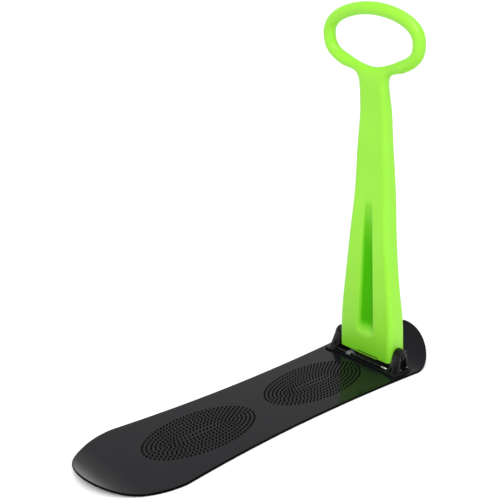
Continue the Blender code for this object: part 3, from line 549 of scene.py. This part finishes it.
def ring_mesh(bm, r, n=260, m=44):
    path = []
    for k in range(6 * n):
        a = 2 * math.pi * k / (6 * n)
        c, s_ = math.cos(a), math.sin(a)
        p = 2.0 / RING_EXP
        if s_ >= 0:
            path.append((RING_A * math.copysign(abs(c) ** p, c), RING_S + RING_UP * s_ ** p))
        else:
            path.append((RING_A * math.copysign(abs(c) ** RING_LOW_Y, c), RING_S - RING_DOWN * abs(s_) ** RING_LOW_Z))
    # even spacing along the path
    q = np.array(path + [path[0]])
    sl = np.concatenate([[0], np.cumsum(np.hypot(*np.diff(q, axis=0).T))])
    t = np.linspace(0, sl[-1], n + 1)[:-1]
    q = np.stack([np.interp(t, sl, q[:, 0]), np.interp(t, sl, q[:, 1])], 1)
    low = np.array([smooth((0.050 - abs(y)) / 0.030) if z < RING_S else 0.0 for y, z in q])[:, None]
    for it in range(120):
        w = 1.0 if it < 20 else low                  # the turn at the neck is rounded most
        q = (1 - 0.5 * w) * q + 0.25 * w * (np.roll(q, 1, 0) + np.roll(q, -1, 0))
    rings = []
    for k in range(n):
        d = q[(k + 1) % n] - q[k - 1]
        d = d / np.hypot(*d)
        nrm = (d[1], -d[0])
        x0 = RING_X + RING_LEAN * (RING_S - q[k][1])
        rings.append([place(x0 + r * math.sin(2 * math.pi * j / m),
                            q[k][0] + nrm[0] * r * math.cos(2 * math.pi * j / m),
                            q[k][1] + nrm[1] * r * math.cos(2 * math.pi * j / m)) for j in range(m)])
    loft(bm, rings, closed=True)


def make_handle():
    bm_c = bmesh.new()
    levels = []
    for k in range(7):                               # rounded bottom edge
        a = math.pi / 2 * k / 6
        levels.append((0.0022 * (1 - math.sin(a)), 0.0022 * (1 - math.cos(a))))
    s = 0.006
    while s < COLUMN_TOP_S - 0.001:
        levels.append((s, 0.0))
        s += 0.0035
    levels.append((COLUMN_TOP_S, 0.0))
    levels = sorted(levels)
    rings = [column_ring(s, 0.0, e) for s, e in levels]
    loft(bm_c, rings)
    bmesh.ops.recalc_face_normals(bm_c, faces=bm_c.faces[:])
    bm_r = bmesh.new()
    ring_mesh(bm_r, RING_TUBE)
    bmesh.ops.recalc_face_normals(bm_r, faces=bm_r.faces[:])
    tree_c, tree_r = BVHTree.FromBMesh(bm_c), BVHTree.FromBMesh(bm_r)
    me_r = bpy.data.meshes.new("tmp_ring")
    bm_r.to_mesh(me_r)
    bm_r.free()
    bm_c.from_mesh(me_r)
    bpy.data.meshes.remove(me_r)
    ob = new_object("handle_shell", bm_c, LIME_MAT)
    rm = ob.modifiers.new("skin", "REMESH")
    rm.mode = "VOXEL"
    rm.voxel_size = 0.0016
    bpy.context.view_layer.update()
    dg = bpy.context.evaluated_depsgraph_get()
    me = bpy.data.meshes.new_from_object(ob.evaluated_get(dg))
    ob.modifiers.clear()
    ob.data = me
    co = np.zeros(len(me.vertices) * 3)
    me.vertices.foreach_get("co", co)
    co = co.reshape(-1, 3)
    ed = np.zeros(len(me.edges) * 2, np.int64)
    me.edges.foreach_get("vertices", ed)
    ed = ed.reshape(-1, 2)
    w = np.zeros(len(co))
    up = np.array(UP)
    level = (co - np.array(H0)) @ up
    R = 0.031
    for i, p in enumerate(co):
        v = Vector(p)
        if level[i] < NECK_S - 0.03:                 # column only
            hit = tree_c.find_nearest(v)
            co[i] = hit[0]
            continue
        c, r = tree_c.find_nearest(v), tree_r.find_nearest(v)
        far = max(c[3], r[3])
        co[i] = (c if c[3] < r[3] else r)[0]
        if far < R:
            t = 1 - far / R
            w[i] = t * t * (3 - 2 * t)
    deg = np.bincount(ed.ravel(), minlength=len(co)).astype(float)
    sel = np.nonzero(w > 0)[0]
    keep = (w[ed[:, 0]] > 0) | (w[ed[:, 1]] > 0)
    e2 = ed[keep]
    ww = w[:, None]
    for _ in range(240):
        acc = np.zeros_like(co)
        for a, b in ((0, 1), (1, 0)):
            for ax in range(3):
                acc[:, ax] += np.bincount(e2[:, a], weights=co[e2[:, b], ax], minlength=len(co))
        avg = acc[sel] / deg[sel][:, None]
        co[sel] += 0.6 * ww[sel] * (avg - co[sel])
    me.vertices.foreach_set("co", co.ravel())
    me.update()
    # open bottom, bores for the bushes and the foot's screws
    bm = bmesh.new()
    loft(bm, [column_ring(s, WALL, 0.0, front=48, corner=8, recess=True) for s in (-0.006, 0.0, 0.02, 0.04, 0.058)])
    cut(ob, cutter(bm))
    bm = bmesh.new()
    for y0, y1 in ((-0.095, -0.070), (0.070, 0.095)):
        turned(bm, [(BUSH_R + 0.0003, y0), (BUSH_R + 0.0003, y1)], PIVOT_X, PIVOT_Z, axis="y", segs=40)
    for y, s in FOOT_SCREWS:
        rings = []
        for x in (0.018, 0.050):
            rings.append([place(x, y + 0.0026 * math.cos(2 * math.pi * k / 20), s + 0.0026 * math.sin(2 * math.pi * k / 20))
                          for k in range(20)])
        loft(bm, rings)
    # a narrow slot low on the front face leaves a lip under it
    x0 = centre_x(0.005) - half_depth(0.005)
    loft(bm, [[place(x, y, s) for x, y in ((x0 - 0.004, SLOT_Y0), (x0 + 0.0023, SLOT_Y0), (x0 + 0.0023, SLOT_Y1), (x0 - 0.004, SLOT_Y1))]
              for s in (SLOT_S0, SLOT_S1)])
    cut(ob, cutter(bm))
    me = ob.data
    me.materials.clear()
    me.materials.append(LIME_MAT)
    for p in me.polygons:
        p.material_index = 0
    me.shade_smooth()
    me.set_sharp_from_angle(angle=math.radians(38))
    # painted shade amount for each point: up to 0.42 low on the front face towards the deck, up to 1 on the floor of
    # the recess, and 1 inside the slot
    att = me.attributes.new("recess", "FLOAT", "POINT")
    co = np.zeros(len(me.vertices) * 3)
    me.vertices.foreach_get("co", co)
    co = co.reshape(-1, 3) - np.array(H0)
    lv, lx = co @ up, co @ np.array(NX)
    val = np.zeros(len(co), np.float32)
    for i in range(len(co)):
        # painted shade low on the front face, darker towards the deck
        low = smooth((0.085 - lv[i]) / 0.085) * smooth(-lx[i] / 0.012)
        val[i] = 0.42 * low
        if lv[i] < SLOT_S0 + 0.0003 and lx[i] < 0 and SLOT_Y0 < co[i][1] < SLOT_Y1:
            val[i] = 0.0                             # the lip under the slot stays light
        # painted shade on the floor of the groove, deepest in its middle
        if GROOVE_S0 < lv[i] < GROOVE_S1 and lx[i] < 0:
            fade = max(0.05, smooth((GROOVE_S1 - lv[i]) / 0.170))
            val[i] = max(val[i], min(1.0, groove_shape(co[i][1], lv[i]) ** 1.5 / fade ** 1.1))
        # painted shade inside the slot: the darkest colour
        if SLOT_S0 - 0.0002 < lv[i] < SLOT_S1 + 0.0002 and x0 + 0.0012 < lx[i] < 0 and SLOT_Y0 - 0.0002 < co[i][1] < SLOT_Y1 + 0.0002:
            val[i] = 1.0
    att.data.foreach_set("value", val)
    # shaded copies of the lime: where the painted shade is deeper, the reflection is weaker too
    me.materials.append(LIME_HALF_SHADE_MAT)
    me.materials.append(LIME_DEEP_SHADE_MAT)
    for p in me.polygons:                            # the floor of the recess is less glossy
        m = min(val[v] for v in p.vertices)
        p.material_index = 2 if m > 0.62 else (1 if m > 0.22 else 0)
    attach(ob, "grip_handle")
    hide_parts("handle")
    # black strip at the back of the slot: a dark sheet standing in for the shadow inside the slot (painted shadow)
    bm = bmesh.new()
    loft(bm, [[place(x, y, s) for x, y in ((x0 + 0.0008, SLOT_Y0 + 0.0003), (x0 + 0.0021, SLOT_Y0 + 0.0003),
                                           (x0 + 0.0021, SLOT_Y1 - 0.0003), (x0 + 0.0008, SLOT_Y1 - 0.0003))]
              for s in (SLOT_S0 + 0.0003, SLOT_S1 - 0.0003)])
    bmesh.ops.recalc_face_normals(bm, faces=bm.faces[:])
    slot_shadow_strip = new_object("painted_shadow_strip", bm, NUB_AND_SLOT_SHADE_MAT, 40)
    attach(slot_shadow_strip, "grip_handle")
    return ob


# ------------------------------------------------------------ small parts with softened edges
def softened(node, name, body, mat, width, segments=2, angle=32):
    me = nodes[node].data.copy()
    bm = bmesh.new()
    bm.from_mesh(me)
    bmesh.ops.remove_doubles(bm, verts=bm.verts[:], dist=1e-5)
    bmesh.ops.dissolve_limit(bm, angle_limit=math.radians(1.2), verts=bm.verts[:], edges=bm.edges[:])
    ob = new_object(name, bm, mat, 40)
    bpy.data.meshes.remove(me)
    bv = ob.modifiers.new("edge", "BEVEL")
    bv.width = width
    bv.segments = segments
    bv.limit_method = "ANGLE"
    bv.angle_limit = math.radians(angle)
    bv.use_clamp_overlap = True
    bpy.context.view_layer.update()
    dg = bpy.context.evaluated_depsgraph_get()
    out = bpy.data.meshes.new_from_object(ob.evaluated_get(dg))
    ob.modifiers.clear()
    ob.data = out
    out.shade_smooth()
    out.set_sharp_from_angle(angle=math.radians(50))
    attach(ob, body)
    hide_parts(node)
    return ob


make_deck()
make_pad("rear")
make_pad("front")
make_handle()
softened("hinge_base", "hinge_bracket", "board", NYLON_MAT, 0.0006)
softened("release_pedal", "toe_bar", "toe_pedal", NYLON_MAT, 0.0003)
softened("release_tab", "toe_tab", "toe_pedal", GREY_MAT, 0.0003)
softened("handle_foot", "handle_foot_block", "grip_handle", LIME_MAT, 0.0004)


# ------------------------------------------------------------ floor, light, camera
def make_floor():
    bm = bmesh.new()
    n, size = 8, 40.0
    grid = [[bm.verts.new((-size / 2 + size * i / n, -size / 2 + size * j / n, -0.0005)) for j in range(n + 1)]
            for i in range(n + 1)]
    for i in range(n):
        for j in range(n):
            bm.faces.new((grid[i][j], grid[i + 1][j], grid[i + 1][j + 1], grid[i][j + 1]))
    g = Graph("floor_look")
    g.b.inputs["Base Color"].default_value = (0.93, 0.93, 0.93, 1)
    g.b.inputs["Roughness"].default_value = 0.9
    g.b.inputs["Specular IOR Level"].default_value = 0.0
    g.b.inputs["Emission Color"].default_value = (1, 1, 1, 1)
    g.b.inputs["Emission Strength"].default_value = 0.02
    fl = new_object("studio_floor", bm, g.mat)


make_floor()

world = bpy.data.worlds.new("studio")
scene.world = world
world.use_nodes = True
wt = world.node_tree
bg = wt.nodes["Background"]
tc = wt.nodes.new("ShaderNodeTexCoord")
dot = wt.nodes.new("ShaderNodeVectorMath")
dot.operation = "DOT_PRODUCT"
dot.inputs[1].default_value = Vector((0.45, 0.72, 0.45)).normalized()
wt.links.new(tc.outputs["Generated"], dot.inputs[0])
mr = wt.nodes.new("ShaderNodeMapRange")
mr.interpolation_type = "SMOOTHSTEP"
mr.inputs["From Min"].default_value = -0.20
mr.inputs["From Max"].default_value = 0.70
mr.inputs["To Min"].default_value = 0.24
mr.inputs["To Max"].default_value = 0.70
wt.links.new(dot.outputs["Value"], mr.inputs["Value"])
sep = wt.nodes.new("ShaderNodeSeparateXYZ")
wt.links.new(tc.outputs["Generated"], sep.inputs[0])
hz = wt.nodes.new("ShaderNodeMapRange")                  # the pale studio wall glows low down
hz.interpolation_type = "SMOOTHSTEP"
hz.inputs["From Min"].default_value = 0.02
hz.inputs["From Max"].default_value = 0.27
hz.inputs["To Min"].default_value = 1.05
hz.inputs["To Max"].default_value = 0.0
wt.links.new(sep.outputs["Z"], hz.inputs["Value"])
tot = wt.nodes.new("ShaderNodeMath")
tot.operation = "ADD"
wt.links.new(mr.outputs["Result"], tot.inputs[0])
wt.links.new(hz.outputs["Result"], tot.inputs[1])
wt.links.new(tot.outputs[0], bg.inputs["Strength"])
bg.inputs["Color"].default_value = (1.0, 1.0, 1.0, 1)


def sun(name, azimuth, elevation, angle, strength):
    li = bpy.data.lights.new(name, "SUN")
    li.angle = math.radians(angle)
    li.energy = strength * math.pi
    ob = bpy.data.objects.new(name, li)
    az, el = math.radians(azimuth), math.radians(elevation)
    d = Vector((math.cos(el) * math.cos(az), math.cos(el) * math.sin(az), math.sin(el)))
    ob.rotation_euler = d.to_track_quat("Z", "Y").to_euler()
    COLL.objects.link(ob)
    return ob


# a broad softbox over the camera's shoulder and a weaker one overhead
sun("key", 224, 42, 40, 0.765)
sun("top", 250, 78, 40, 0.30)

cam = bpy.data.cameras.new("camera")
cam.lens = 67.28
cam.sensor_width = 36.0
cam.sensor_fit = "HORIZONTAL"
cam.clip_start = 0.05
cam.clip_end = 200.0
co = bpy.data.objects.new("camera", cam)
co.location = (-1.24392, -1.34240, 1.00244)
co.rotation_euler = Vector((0.62739673, 0.70484213, -0.33101498)).to_track_quat("-Z", "Y").to_euler()
COLL.objects.link(co)
scene.camera = co

bpy.context.view_layer.update()
